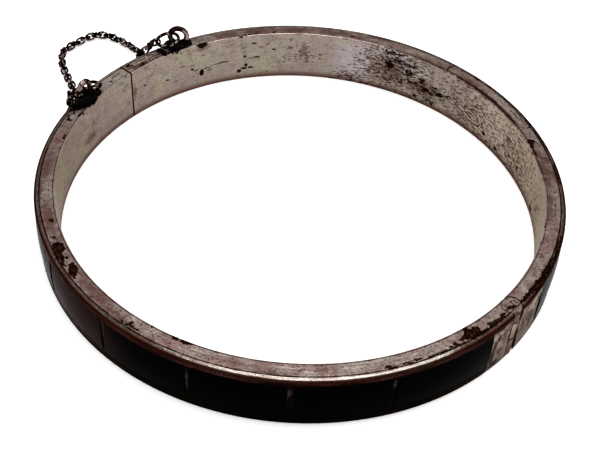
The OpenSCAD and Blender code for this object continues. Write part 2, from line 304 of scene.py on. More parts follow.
rim_crust = chart("rim_crust", at_height(BAND_H, 0.5, [
    (-149.9, 31.1, 1.15, 0.8), (-148, 31.45, 1.2, 0.5), (-111.2, 30.2, 0.85, 0.4),
    (-113.7, 30.3, 0.5, 0.32), (-51.9, 31.2, 1.35, 0.85), (-50.6, 31, 0.6, 0.6),
    (-47, 31.3, 0.5, 0.2), (-45.6, 31.45, 0.5, 0.16), (-57.6, 31.35, 0.3, 0.2),
    (50.6, 31.2, 0.14, 1.5),
]) + at_height(BAND_H, 0.4, [
    (-145.6, 31.5, 0.9, 0.22), (-142.9, 31, 1.15, 0.62), (-141.2, 31.4, 0.8, 0.3),
    (-144.2, 30.8, 0.4, 0.3), (-146.5, 30.9, 0.35, 0.2), (-153.3, 31.1, 0.35, 0.25),
    (-158.5, 30.8, 0.4, 0.25), (-119.2, 30.15, 0.3, 0.15), (-122.5, 31.5, 1.1, 0.16),
    (-123.1, 31.2, 0.3, 0.35), (-125, 31.55, 0.4, 0.15), (-70.6, 31.62, 0.9, 0.2),
    (-67.2, 31.6, 0.6, 0.16), (-64.9, 31.52, 0.7, 0.22), (-62, 31.6, 0.6, 0.16),
    (-60.3, 31.62, 0.4, 0.16), (-58, 31.7, 2.6, 0.13), (-56.4, 31.4, 0.25, 0.5),
    (-54, 31.15, 0.9, 0.25), (-52.4, 30.35, 0.3, 0.36), (-49.2, 31.72, 1.8, 0.26),
    (-46.6, 31.66, 0.8, 0.2), (-44.9, 31.62, 1.1, 0.16), (-43.4, 31.45, 0.5, 0.26),
    (-41.2, 31.2, 0.5, 0.2), (-40.3, 31.45, 0.5, 0.3), (-39.3, 30.85, 0.3, 0.28),
    (15.2, 30.35, 0.9, 0.25), (16.6, 30.7, 0.5, 0.5), (33.6, 30.4, 0.35, 0.22),
    (138.2, 30.42, 0.9, 0.26), (141.3, 31.55, 0.5, 0.3), (172.9, 30.45, 0.6, 0.2),
    (166.6, 31.1, 0.35, 0.55), (165.2, 31.4, 0.7, 0.12), (163.6, 31.1, 0.5, 0.18),
    (163, 31.85, 0.5, 0.45), (163.7, 30.25, 0.7, 0.25),
]) + at_height(7.35, 0.5, [
    (-33.2, 31.82, 3.6, 0.32), (-27, 31.82, 2.6, 0.28),
]) + at_height(7.3, 0.5, [
    (-30.6, 32.15, 1.8, 0.3), (-24, 32.1, 2.6, 0.28), (-18.4, 32.1, 2.2, 0.26),
    (16.6, 32.12, 2.8, 0.4), (22.8, 32.12, 1.8, 0.35),
]) + at_height(7.3, 0.4, [
    (5, 32.15, 2.6, 0.3), (30, 32.15, 3.8, 0.25), (38, 32.1, 1, 0.3), (43.2, 32, 0.8, 0.34),
]) + at_height(BAND_H, 0.3, [
    (-8, 31.12, 1.8, 0.045), (-13, 30.05, 1.1, 0.1), (-19.6, 30.02, 0.7, 0.09),
    (105.4, 30.42, 1.3, 0.13), (107.2, 30.3, 0.8, 0.1), (100, 30.5, 0.4, 0.18),
    (109.3, 30.05, 0.5, 0.16), (78.6, 30.75, 0.5, 0.35),
]) + at_height(7.25, 0.5, [
    (120.3, 30, 1.1, 0.4),
]))

# %% [markdown]
# Round the eyelets the flame that melted their solder left a black scale, darker
# and smoother than any crust, and the shadow of the eyelets on the rim is painted
# in the same black. It could be painted as a texture, but eight stains say the
# same, and a changed number moves them.

# %% Chart: black scale and painted shadow round the eyelets
burnt = chart("burnt", at_height(BAND_H, 0.6, [
    (158.2, 30.9, 2.1, 1.2), (156.4, 31.4, 2.2, 1.4), (126.9, 30.9, 1.5, 0.95),
    (125.2, 31.5, 1.6, 1),
]) + at_height(BAND_H, 0.5, [
    (154.6, 30.8, 1.1, 0.75), (161.6, 31.4, 0.8, 0.7), (131.2, 31.2, 0.55, 1.3),
]) + at_height(BAND_H, 0.4, [
    (128.8, 30.35, 1.4, 0.3),
]))

# %% [markdown]
# Thin lines run along the rim at the upper right and beside the back eyelet, and
# the inner wall has spots and hairlines. A line is a stain too, only very long and
# thin. Marks on the wall all lie at its radius, so their rows leave it out.

# %% Chart: spots and lines
def at_radius(radius, deep, rows):
    """Full rows from rows of angle, height, half length, half height and strength."""
    return [(angle, radius, height, long, deep, tall, *strength)
            for angle, height, long, tall, *strength in rows]


wall_spots = chart("wall_spots", at_height(BAND_H, 0.5, [
    (44, 30.3, 2.6, 0.1), (35, 30.3, 5, 0.17), (27, 30.3, 2, 0.12), (16.2, 30.45, 0.8, 0.4),
    (138.6, 30.8, 2.4, 0.09), (136.4, 30.5, 3.2, 0.09), (133.6, 31, 1.3, 0.09),
    (137.6, 31.4, 1.1, 0.08), (134.4, 31.5, 0.6, 0.14), (140.6, 31.2, 0.25, 0.2),
    (146.4, 31.2, 0.9, 0.08), (148.6, 30.7, 0.2, 0.16),
]) + at_height(BAND_H, 0.4, [
    (26.6, 31.15, 1.5, 0.09), (24, 31.45, 1.1, 0.08), (21.6, 31.6, 0.12, 0.45),
    (12.6, 30.35, 1.2, 0.12),
]) + at_radius(INNER_R, 0.4, [
    (123.4, 3.6, 0.3, 0.22), (122.3, 3.25, 0.55, 0.08), (120.6, 2.6, 0.38, 0.65),
    (119, 3.15, 0.7, 0.06), (116.6, 3.42, 0.9, 0.06), (114.1, 3.55, 0.9, 0.11),
    (108.1, 3.9, 0.26, 0.2), (105.9, 3.52, 0.8, 0.06), (104.4, 3.62, 0.55, 0.11),
    (109.7, 1.5, 0.4, 0.3), (108.3, 1.85, 0.6, 0.2), (107.7, 2.4, 0.25, 0.3),
    (106.4, 1.9, 0.5, 0.18), (105.6, 6, 0.5, 0.12), (99.9, 4.8, 0.38, 0.13),
    (131.2, 3.3, 0.3, 0.15), (138.6, 4.2, 0.3, 0.16), (28.8, 1.15, 0.5, 0.26),
    (18.3, 2.2, 0.4, 0.24), (5.8, 0.9, 0.8, 0.3), (34.4, 1.7, 0.4, 0.35), (39, 1.85, 2, 0.09),
    (38.4, 4.8, 0.4, 0.12), (24, 4.7, 0.8, 0.09),
]))

# %% [markdown]
# At the upper right of the inner wall the tarnish has eaten in, in loose black
# blotches. A noise alone would spread them all over the wall. A few stains at that
# place, pushed far out of shape by the ragged place, keep them together.

# %% Chart: black blotches on the inner wall
wall_blotches = chart("wall_blotches", at_radius(INNER_R, 0.4, [
    (67.2, 4.6, 0.7, 0.9), (65, 5.7, 1.4, 0.35), (66, 6.9, 2.6, 0.3), (63.4, 2.4, 0.6, 0.8),
    (61.2, 4.2, 0.9, 0.5), (59.6, 2.9, 1.1, 0.4), (58.6, 1, 0.8, 0.4), (57.2, 3.9, 0.7, 0.55),
    (55.6, 2.6, 1.7, 0.42), (54, 1.1, 1.4, 0.4), (53.2, 3.7, 0.9, 0.38), (51.2, 3, 1.3, 0.5),
    (48.6, 3.5, 1.2, 0.28), (61, 5.5, 0.9, 0.25),
]))

# %% [markdown]
# Besides crusts there are soft clouds of colour: pink-brown where the silver is
# thinly tarnished, and nearly black-brown along the lip at the back. They use the
# same stain, with larger sizes, and fade slowly instead of ending at an edge.

# %% Charts: clouds of colour
brown_clouds = chart("brown_clouds", at_height(BAND_H, 0.5, [
    (76.4, 30.7, 1.8, 0.6), (71.5, 31.6, 2.8, 0.6), (104.5, 31.2, 4, 1.2), (112, 31, 2.5, 1.2),
    (94, 31, 4, 1.2), (84, 31, 3, 1), (43, 30.6, 2.2, 0.7), (50, 30.25, 8, 0.3),
    (37, 30.25, 8, 0.36, 1.2), (26, 30.25, 6, 0.32, 1.2), (12.2, 30.4, 0.5, 0.4, 1.6),
    (11.2, 30.7, 0.45, 0.35, 1.6), (10.2, 31, 0.45, 0.35, 1.6), (9.2, 31.3, 0.45, 0.35, 1.6),
    (8, 30.5, 0.8, 0.5, 1.4), (5.4, 30.6, 1, 0.6, 1.4), (5, 31.4, 0.4, 0.4, 1.6),
    (4, 31.7, 2.2, 0.6), (2, 30.5, 2.2, 0.6), (-6, 30.5, 5, 0.6), (-134, 30.9, 4, 1),
    (-127, 31.4, 4, 0.8), (-94, 31.5, 3, 0.6), (-100, 31, 9, 1.2, 0.65), (-82, 31, 9, 1.2, 0.4),
    (-160, 31, 6, 1), (-177, 31.2, 5, 1), (10.2, 31.1, 0.9, 0.9), (-170, 31.7, 5, 0.4),
]) + at_radius(INNER_R, 0.5, [
    (142.2, 4, 0.45, 2), (158.8, 4.3, 0.7, 0.7), (161, 2.6, 2.6, 1), (120, 6.7, 2, 0.7),
    (91.6, 5, 0.7, 1.8), (66.5, 4.2, 3.4, 3.4), (30, 1, 14, 3, 0.35), (26, 0.2, 18, 0.9),
    (57, 2.8, 4, 2),
]))

lilac_clouds = chart("lilac_clouds", at_radius(INNER_R, 0.5, [
    (77.5, 3.8, 4.5, 5), (67, 6.4, 5, 1.8), (60, 5.2, 5, 1.8, 0.8), (95, 6, 9, 2.4, 0.4),
    (118, 6.4, 9, 1.6, 0.4), (161, 6.2, 3, 1.6, 0.6), (8, 6, 5, 1.6, 0.4),
]))

# %% [markdown]
# The rounded lip and the inner edge are rubbed bright where skin and table touch
# them, the inner edge with a painted highlight as well, and stay dark elsewhere: at
# the back, right of the hinge and at the left.
# Dark stretches on bright metal need fewer rows than the other way about.

# %% Chart: where the lip and the inner edge are dark
dark_lip = chart("dark_lip", [
    (56, INNER_R + 0.1, BAND_H, 9, 0.4, 0.5, 0.8), (36, INNER_R + 0.1, BAND_H, 12, 0.4, 0.5, 0.8),
    (8, INNER_R + 0.1, BAND_H, 8, 0.4, 0.5, 0.6), (34, 32.15, 7.2, 17, 1.1, 1.2, 1.2),
    (8, 32.15, 7.2, 15, 1.1, 1.2, 1.2), (-22, 32.2, 7.3, 12, 0.8, 0.9),
    (-49.5, 32.25, 7.2, 5.6, 0.9, 0.9), (-88, 32.45, 6.95, 22, 0.2, 0.18),
    (92, 32.45, 7.2, 18, 0.35, 0.35), (64, 32.3, 7.2, 10, 0.7, 0.7),
    (-124, 32.35, 7.15, 10, 0.8, 0.7), (-146, 32.2, 7.2, 14, 1, 1), (-172, 32.2, 7.2, 12, 0.9, 0.9),
    (168, 32.3, 7.2, 9, 0.6, 0.6),
])

# %% [markdown]
# The inner wall is scored unevenly: densely at the upper right, loosely elsewhere.
# This chart says how crowded the dashes of a later step are, so that one seeded
# pattern can be thick in one place and thin in another.

# %% Chart: where the inner wall is scored
scored = chart("scored", at_radius(INNER_R, 0.9, [
    (68, 3.9, 7, 5.6), (61.5, 5.6, 6, 3.2), (56.5, 2.6, 6, 2.6), (78.5, 0.9, 4, 1.8),
    (66, 0.2, 14, 0.9), (40, 3.2, 14, 9, 0.8), (20, 3, 14, 9, 0.8), (2, 3, 10, 7, 0.6),
    (92, 3.6, 12, 7, 0.45), (163.5, 5.8, 4, 2.6, 0.45),
]))

# %% [markdown]
# The plates beside the hinge carry no stones. Their metal shows lilac-grey tears and
# brown lines at and between its edges. Both are read off the photograph one by one,
# for they are few and catch the eye.

# %% Charts: tears and lines on the plates by the hinge
tears = chart("tears", at_radius(OUTER_R, 0.5, [
    (-45.6, 5.3, 0.25, 0.7), (-46.3, 4.2, 0.3, 0.9), (-46.7, 2.2, 0.35, 1.8), (-45.6, 1, 0.8, 0.5),
    (-37.6, 4.3, 0.32, 0.75), (-35, 4.2, 0.7, 0.9), (-33.6, 3.2, 0.7, 1.6),
]))

plate_lines = chart("plate_lines", at_radius(OUTER_R, 0.5, [
    (-37.2, 5, 0.5, 0.07), (-36.2, 5.35, 0.6, 0.07), (-34.8, 5.5, 0.6, 0.06),
    (-41.4, 4.1, 0.16, 1.7), (-38.6, 6.4, 0.16, 1.2), (-38.6, 1.4, 0.16, 1.4),
    (-47.6, 3.6, 0.14, 3.4), (-30.6, 3.6, 0.16, 3.4), (-44, 6.75, 2, 0.2), (-34.5, 6.9, 2.2, 0.16),
]))

# %% [markdown]
# Here and there the metal is rubbed bare: on the rim by the clasp and at the right,
# and down some bars. The streaks along the upper rail are painted highlights on
# partly bare metal. Wear touches what stands out, so these rows follow the edges
# that a hand would rub.

# %% Chart: bare metal and painted highlights
bare_rail = chart("bare_rail", at_height(BAND_H, 0.5, [
    (147, 31, 3.6, 1.4), (137, 31.2, 3.6, 1.2, 0.8), (30, 31.1, 8, 1.4, 0.7),
    (-166, 31, 7, 1.2, 0.6),
]) + at_radius(OUTER_R, 0.4, [
    (-89.9, 5.3, 0.4, 1.3, 0.8), (-70, 5.4, 0.4, 1.2, 0.8), (-109.4, 4.2, 0.4, 2.4, 0.8),
    (-129.1, 4.4, 0.4, 2.4, 0.8), (-148.8, 4.8, 0.4, 1.6, 0.6), (-101, 6.85, 5, 0.4),
    (-111, 6.75, 3, 0.3), (-122, 6.8, 2.5, 0.22), (-70, 6.8, 5, 0.24), (-86, 6.85, 4, 0.22),
    (-57, 6.8, 5, 0.24), (-165, 6.8, 12, 0.5), (0, 6.8, 9, 0.5),
]))

# %% [markdown]
# Dashes are the marks of a file or of cloth that ran round the band, later filled
# with tarnish. They are short, thin and crisp, and no two are alike. A Voronoi
# texture cuts the wall into long flat cells and gives each cell a point and a
# random colour: the dash is drawn about the point, and the colour decides whether
# it is there, its size and its lean.

# %% Group: dashes
HALF_LONG = (0.22, 0.55)
HALF_WIDE = (0.2, 0.36)
FULL_PART = 0.6

dashes, into, out = new_group(
    "dashes",
    [("Place", VECTOR, None), ("Length", FLOAT, 0.8), ("Width", FLOAT, 0.12),
     ("Slant", FLOAT, 0.0), ("Crowding", FLOAT, 0.2)],
    [("Mask", FLOAT)])
parts = split(dashes, into.outputs["Place"])
leaning = calc(dashes, "ADD", parts[2], calc(dashes, "MULTIPLY", parts[0], into.outputs["Slant"]))
stretched = join(dashes, calc(dashes, "DIVIDE", parts[0], into.outputs["Length"]),
                 calc(dashes, "DIVIDE", leaning, calc(dashes, "MULTIPLY", into.outputs["Width"], 2.0)),
                 0.0)
cells = dashes.nodes.new("ShaderNodeTexVoronoi")
cells.voronoi_dimensions = "2D"
cells.inputs["Scale"].default_value = 1.0
dashes.links.new(stretched, cells.inputs["Vector"])
along, up = split(dashes, vec(dashes, "SUBTRACT", stretched, cells.outputs["Position"]))[:2]
there, long, lean = split(dashes, cells.outputs["Color"])
up = calc(dashes, "ADD", up, calc(dashes, "MULTIPLY", along, calc(dashes, "SUBTRACT", lean, 0.5)))
mask = calc(dashes, "LESS_THAN", there, into.outputs["Crowding"])
for distance, dice, half_sizes in ((along, long, HALF_LONG), (up, lean, HALF_WIDE)):
    reach = ramp(dashes, dice, 0.0, 1.0, *half_sizes)
    full = calc(dashes, "MULTIPLY", reach, FULL_PART)
    mask = calc(dashes, "MULTIPLY", mask,
                ramp(dashes, calc(dashes, "ABSOLUTE", distance), full, reach, 1.0, 0.0))
dashes.links.new(mask, out.inputs["Mask"])
print("the dashes take", len(dashes.nodes), "nodes")

# %% [markdown]
# Specks are pinprick pits that hold dirt. Scattered points would do, but a fine
# noise cut off near its peaks needs no points at all. The crowding moves the level
# of the cut, and the noise itself goes out as a height for the relief.

# %% Group: specks
RARE, COMMON = 0.74, 0.5
EDGE = 0.06

specks, into, out = new_group(
    "specks",
    [("Solid", VECTOR, None), ("Size", FLOAT, 0.3), ("Crowding", FLOAT, 0.3)],
    [("Mask", FLOAT), ("Height", FLOAT)])
field = grain(specks, into.outputs["Solid"], calc(specks, "DIVIDE", 1.0, into.outputs["Size"]),
              detail=3.0, rough=0.65)
level = ramp(specks, into.outputs["Crowding"], 0.0, 1.0, RARE, COMMON)
specks.links.new(ramp(specks, field, level, calc(specks, "ADD", level, EDGE)), out.inputs["Mask"])
specks.links.new(field, out.inputs["Height"])
print("groups:", ", ".join(sorted(g.name for g in bpy.data.node_groups)))

# %% [markdown]
# The band's silver changes with the place: the inner wall is a brushed warm grey,
# the rim a pinker grey, the rounded lip is rubbed bright, and the rails beside the
# stones are brown-black with tarnish that no finger reaches. Each region could be
# its own material on its own faces, but one material with masks lets a stain run
# on over an edge. A few more helpers say in words how masks meet.

# %% Helpers for materials
def start_material(name):
    material = bpy.data.materials.new(name)
    material.use_nodes = True
    return material, material.node_tree, material.node_tree.nodes["Principled BSDF"]


def between(tree, value, low, high, soft):
    """1 between low and high, with soft edges."""
    up = ramp(tree, value, low - soft, low + soft)
    down = ramp(tree, value, high - soft, high + soft, 1.0, 0.0)
    return calc(tree, "MULTIPLY", up, down)


def times(tree, *factors):
    product = factors[0]
    for factor in factors[1:]:
        product = calc(tree, "MULTIPLY", product, factor)
    return product


def most(tree, *values):
    highest = values[0]
    for value in values[1:]:
        highest = calc(tree, "MAXIMUM", highest, value)
    return highest


def charted(tree, group, place, low, high):
    """The mask of a chart, stretched to rise from 0 to 1 between two levels."""
    return ramp(tree, use(tree, group, Place=place).outputs["Mask"], low, high)


def dress(tree, shader, **values):
    """Set or link inputs of the shader by name."""
    for name, value in values.items():
        feed(tree, shader.inputs[name.replace("_", " ")], value)


def emboss(tree, shader, height, depth_mm):
    """Turn a value into relief on the material's normal."""
    bump = tree.nodes.new("ShaderNodeBump")
    bump.inputs["Distance"].default_value = depth_mm * MM
    tree.links.new(height, bump.inputs["Height"])
    tree.links.new(bump.outputs["Normal"], shader.inputs["Normal"])


print("helpers for materials ready")

# %% [markdown]
# Each half of the band gets its own copy of the silver, so that it reads only its
# own half's charts and renders quickly. Both are built side by side, step by
# step. The band was turned round one axis, so a region is a range of radius and
# height, with soft edges of a few hundredths of a millimetre, and only the plates
# at hinge and clasp also start and end at an angle.

# %% Silver: the regions of the band
LINER = 0.2
LIP_W = 0.66
LIP_AT = OUTER_R - LIP_W
PLATES_START = {"front": -47.7, "back": 134.5}
PLATES_END = {"front": 151.5, "back": -30.5}
PLATE_EDGE = 0.05

silvers = []
for half in ("front", "back"):
    material, tree, shader = start_material(f"worn_silver_{half}")
    spot = use(tree, band_place)
    place, solid = spot.outputs["Place"], spot.outputs["Solid"]
    way, radius, height = split(tree, place)
    band = SimpleNamespace(half=half, material=material, tree=tree, shader=shader, place=place,
                           solid=solid, way=way, radius=radius, height=height)
    band.on_wall = ramp(tree, radius, INNER_R + 0.03, INNER_R + 0.09, 1.0, 0.0)
    band.on_edge = times(tree, ramp(tree, radius, INNER_R + 0.16, INNER_R + 0.2, 1.0, 0.0),
                         ramp(tree, height, BAND_H - 0.16, BAND_H - 0.1))
    band.on_rim = ramp(tree, height, BAND_H - 0.08, BAND_H - 0.04)
    band.on_lip = times(tree, ramp(tree, radius, LIP_AT + 0.02, LIP_AT + 0.06),
                        ramp(tree, height, BAND_H - 0.44, BAND_H - 0.4))
    band.on_face = times(tree, ramp(tree, radius, OUTER_R - 0.45, OUTER_R - 0.4),
                         calc(tree, "SUBTRACT", 1.0, band.on_lip))
    start, end = round_at(PLATES_START[half]), round_at(PLATES_END[half])
    band.on_plate = most(tree, ramp(tree, way, start - PLATE_EDGE, start + PLATE_EDGE),
                         ramp(tree, way, end - PLATE_EDGE, end + PLATE_EDGE, 1.0, 0.0))
    silvers.append(band)
print("regions of", ", ".join(band.material.name for band in silvers))

# %% [markdown]
# Worn metal is uneven at every size, so four noises are made once and shared by
# tone, roughness and relief, which then agree: big, middle and small ones, and one
# drawn out along the band like brushing. The place comes in three degrees of
# raggedness, for lines, for clouds and for torn blotches.

# %% Silver: noises and ragged places
BRUSHED = (0.25, 3.0, 3.0)


def pushed(band, coarse, fine):
    return use(band.tree, ragged_place, Place=band.place, Solid=band.solid,
               Coarse=coarse, Fine=fine).outputs["Place"]


for band in silvers:
    tree = band.tree
    band.steady = pushed(band, 0.3, 0.2)
    band.ragged = pushed(band, 0.8, 0.5)
    band.torn = pushed(band, 1.6, 1.3)
    band.big = grain(tree, band.solid, 0.16, detail=3.0, rough=0.6)
    band.middle = grain(tree, band.solid, 0.8, detail=4.0, rough=0.6)
    band.small = grain(tree, band.solid, 4.0, detail=4.0, rough=0.7)
    band.along = grain(tree, vec(tree, "MULTIPLY", band.place, BRUSHED), 1.0, detail=4.0, rough=0.65)
    band.bare = charted(tree, bare_rail[band.half], band.steady, 0.0, 0.6)
    print(band.material.name, "has", len(tree.nodes), "nodes so far")

# %% [markdown]
# The inner wall is the cleanest silver, darker at its foot, with brushing, lilac
# films at the upper right and a paler stretch that the wrist rubs. Tarnish lies in
# films, so the tone is laid the same way: each line mixes one film over the last.

# %% Silver: tone of the inner wall
for band in silvers:
    tree, height, small = band.tree, band.height, band.small
    tone = mix(tree, ramp(tree, band.big, 0.4, 0.62), (0.32, 0.288, 0.236), (0.3, 0.256, 0.236))
    tone = mix(tree, ramp(tree, height, 0.15, 1.2, 0.95, 0.0), tone, (0.12, 0.06, 0.052))
    tone = mix(tree, ramp(tree, band.along, 0.5, 0.7, 0.0, 0.5), tone, (0.2, 0.15, 0.13))
    tone = mix(tree, ramp(tree, band.middle, 0.5, 0.68, 0.0, 0.45), tone, (0.2, 0.165, 0.145))
    tone = mix(tree, ramp(tree, small, 0.48, 0.68, 0.0, 0.55), tone, (0.13, 0.085, 0.07))
    rubbed = between(tree, band.way, round_at(-12.0), round_at(41.0), 6.0)
    rubbed = times(tree, rubbed, ramp(tree, height, 0.4, 2.0, 0.1, 0.45))
    tone = mix(tree, rubbed, tone, (0.47, 0.41, 0.34))
    lilac = charted(tree, lilac_clouds[band.half], band.ragged, 0.0, 0.7)
    lilac = times(tree, lilac, ramp(tree, small, 0.3, 0.6, 0.8, 0.3))
    band.wall_tone = mix(tree, lilac, tone, (0.42, 0.37, 0.42))
print("tone of the inner wall laid")

# %% [markdown]
# The rim is dull and pinkish, because it lies on tables and is never polished, with
# grey and brown grains. The lip beside it is the brightest metal, but the lower part
# of its bevel and its rounding carry a painted shade, which keeps its highlight narrow.

# %% Silver: tones of the rim and the lip
for band in silvers:
    tree, middle, small = band.tree, band.middle, band.small
    tone = mix(tree, ramp(tree, band.big, 0.4, 0.6), (0.34, 0.292, 0.264), (0.31, 0.226, 0.206))
    tone = mix(tree, ramp(tree, middle, 0.5, 0.66, 0.0, 0.7), tone, (0.19, 0.12, 0.11))
    tone = mix(tree, ramp(tree, middle, 0.34, 0.46, 0.7, 0.0), tone, (0.43, 0.395, 0.37))
    tone = mix(tree, ramp(tree, small, 0.52, 0.64, 0.0, 0.9), tone, (0.10, 0.052, 0.044))
    bared = times(tree, band.bare, ramp(tree, small, 0.62, 0.45))
    band.rim_tone = mix(tree, bared, tone, (0.45, 0.4, 0.36))

    tone = mix(tree, ramp(tree, band.along, 0.4, 0.7), (0.38, 0.355, 0.32), (0.17, 0.125, 0.105))
    # Painted shade: the lower part of the lip is darkened so that its highlight stays narrow.
    lip_painted_shade = ramp(tree, band.height, BAND_H - 0.125, BAND_H - 0.095, 0.95, 0.0)
    band.lip_tone = mix(tree, lip_painted_shade, tone, (0.024, 0.006, 0.004))
print("tones of the rim and the lip laid")

# %% [markdown]
# Rails and bars frame the stones. In the lee of the lip they have gone nearly black,
# with pinkish streaks of painted highlight on partly bare metal. The bars are bluish
# black, and those at the left are greyer under a film.

# %% Silver: tones of the rails and the bars
for band in silvers:
    tree, along, small = band.tree, band.along, band.small
    tone = mix(tree, ramp(tree, along, 0.5, 0.8, 0.0, 0.4),
               (0.004, 0.0014, 0.0011), (0.03, 0.012, 0.009))
    # Painted highlight: pinkish streaks along the upper rail, partly on bare metal.
    tone = mix(tree, times(tree, band.bare, ramp(tree, along, 0.3, 0.55)), tone, (0.075, 0.035, 0.037))
    # Darker towards the bottom: the lower rail goes almost black.
    tone = mix(tree, ramp(tree, band.height, 1.0, 1.3, 0.8, 0.0), tone, (0.004, 0.003, 0.003))

    bar = mix(tree, ramp(tree, small, 0.4, 0.6), (0.004, 0.0027, 0.002), (0.003, 0.0036, 0.005))
    film = ramp(tree, band.way, round_at(-120.0), round_at(-140.0), 0.0, 0.8)
    bar = mix(tree, film, bar, (0.07, 0.05, 0.045))
    bar = mix(tree, times(tree, band.bare, ramp(tree, small, 0.42, 0.5)), bar, (0.065, 0.05, 0.045))
    on_bar = between(tree, band.height, RAIL_H, BAND_H - RAIL_H, 0.04)
    band.rail_tone = mix(tree, on_bar, tone, bar)
print("tones of the rails and the bars laid")

# %% [markdown]
# Beside the hinge the plates show its leaf, a narrow strip with the knuckle's end
# in the middle. The gaps round them are too thin to see as shape and have filled
# with dirt. So they are drawn as lines where the solids meet, together with the
# charted lines and tears.

# %% Silver: tone of the plates
STRIP_FROM, STRIP_TO = -0.92, 0.7
KNUCKLE_ENDS = (2.75, 5.5)
THIN_GAP, WIDE_GAP, OVERLAP = 0.16, 0.34, 0.02
END_GAP = 0.13

for band in silvers:
    tree, half, height = band.tree, band.half, band.height
    beside = calc(tree, "SUBTRACT", band.way, round_at(HINGE_AT))
    thin_gap = between(tree, beside, STRIP_FROM - THIN_GAP, STRIP_FROM + OVERLAP, 0.03)
    wide_gap = between(tree, beside, STRIP_FROM - WIDE_GAP, STRIP_FROM + OVERLAP, 0.04)
    wide_gap = times(tree, wide_gap, between(tree, height, *KNUCKLE_ENDS, 0.1))
    end_gaps = [between(tree, height, end - END_GAP, end + END_GAP, 0.04) for end in KNUCKLE_ENDS]
    end_gaps = times(tree, between(tree, beside, STRIP_FROM, STRIP_TO, 0.03), most(tree, *end_gaps))
    lines = charted(tree, plate_lines[half], band.steady, 0.1, 0.4)
    lines = most(tree, lines, thin_gap, wide_gap, end_gaps)
    band.lines = times(tree, lines, band.on_face, band.on_plate)

    tone = mix(tree, ramp(tree, band.middle, 0.42, 0.6), (0.38, 0.32, 0.275), (0.13, 0.095, 0.09))
    tone = mix(tree, ramp(tree, height, 2.0, 5.5, 0.55, 0.0), tone, (0.095, 0.07, 0.078))
    tone = mix(tree, charted(tree, tears[half], band.steady, 0.05, 0.15), tone, (0.035, 0.022, 0.035))
    band.plate_tone = mix(tree, times(tree, band.lines, 0.9), tone, (0.02, 0.008, 0.006))
print("tone of the plates laid")

# %% [markdown]
# Now the tones go to their regions, and the inner edge gets a paler line, rubbed
# metal with a painted highlight.
# Then come the soft stains: brown clouds over everything, and the dirt that keeps
# parts of the lip and of the inner edge dark.

# %% Silver: regions together, and soft stains
for band in silvers:
    tree, half, radius, along = band.tree, band.half, band.radius, band.along
    tone = mix(tree, band.on_wall, band.rim_tone, band.wall_tone)
    # Painted highlight along the inner edge, over rubbed metal.
    edge_wear_and_highlight = times(tree, band.on_edge, ramp(tree, along, 0.35, 0.6, 1.0, 0.4))
    tone = mix(tree, edge_wear_and_highlight, tone, (0.46, 0.38, 0.34))
    tone = mix(tree, band.on_lip, tone, band.lip_tone)
    tone = mix(tree, band.on_face, tone, mix(tree, band.on_plate, band.rail_tone, band.plate_tone))

    clouds = charted(tree, brown_clouds[half], band.ragged, 0.0, 0.8)
    tone = mix(tree, times(tree, clouds, 0.7), tone, (0.13, 0.075, 0.062))
    by_the_lip = most(tree, band.on_edge, ramp(tree, radius, LIP_AT - 0.1, LIP_AT))
    band.lip_dirt = times(tree, charted(tree, dark_lip[half], band.ragged, 0.0, 0.3), by_the_lip,
                          ramp(tree, band.small, 0.3, 0.6, 1.0, 0.6))
    dirt_tone = mix(tree, ramp(tree, along, 0.42, 0.66), (0.026, 0.004, 0.002), (0.085, 0.024, 0.014))
    band.tone = mix(tree, times(tree, band.lip_dirt, 0.97), tone, dirt_tone)
print("regions joined and stained")

# %% [markdown]
# Scratches come next, on the wall only: a fine set almost level with the rim, and
# a bold, slanting set where the scoring is dense. Specks are everywhere. Both are
# kept as masks, for the relief needs them too.

# %% Silver: scratches and specks
for band in silvers:
    tree = band.tree
    scoring = charted(tree, scored[band.half], band.ragged, 0.0, 0.8)
    fine_set = use(tree, dashes, Place=band.place, Length=0.9, Width=0.105, Slant=0.04,
                   Crowding=ramp(tree, scoring, 0.0, 0.7, 0.03, 0.95))
    bold_set = use(tree, dashes, Place=band.steady, Length=0.95, Width=0.2, Slant=-0.3,
                   Crowding=ramp(tree, scoring, 0.6, 1.0, 0.0, 0.95))
    scratches = most(tree, fine_set.outputs["Mask"], bold_set.outputs["Mask"])
    band.dash = times(tree, scratches, band.on_wall)
    tone = mix(tree, times(tree, band.dash, 0.9), band.tone, (0.055, 0.021, 0.01))
    band.speck = use(tree, specks, Solid=band.solid, Size=0.35, Crowding=0.35).outputs["Mask"]
    band.tone = mix(tree, times(tree, band.speck, 0.7), tone, (0.09, 0.055, 0.045))
print("scratches and specks laid")

# %% [markdown]
# The crusts lie over all that, nearly black with brown crumbs in their middles.
# They end in a crisp edge, unlike the clouds: the same kind of mask, cut off
# steeply. The blotches, and the burnt scale with the painted shadow round the
# eyelets, are blacker still.

# %% Silver: crusts, blotches, burnt scale and painted shadow
for band in silvers:
    tree, half = band.tree, band.half
    crust = most(tree, use(tree, rim_crust[half], Place=band.ragged).outputs["Mask"],
                 use(tree, wall_spots[half], Place=band.steady).outputs["Mask"])
    crumbs = times(tree, ramp(tree, crust, 0.3, 0.7), ramp(tree, band.small, 0.44, 0.6))
    crust_tone = mix(tree, crumbs, (0.014, 0.004, 0.003), (0.09, 0.04, 0.019))
    band.crusted = ramp(tree, crust, 0.05, 0.25)
    band.blotched = times(tree, charted(tree, wall_blotches[half], band.torn, 0.05, 0.3), band.on_wall)
    band.black = charted(tree, burnt[half], band.ragged, 0.02, 0.15)
    tone = mix(tree, band.crusted, band.tone, crust_tone)
    tone = mix(tree, band.blotched, tone, (0.012, 0.006, 0.005))
    # Black scale round the eyelets, with the eyelets' painted shadow on the rim.
    band.tone = mix(tree, band.black, tone, (0.003, 0.0025, 0.0025))
print("crusts, blotches and burnt places laid")

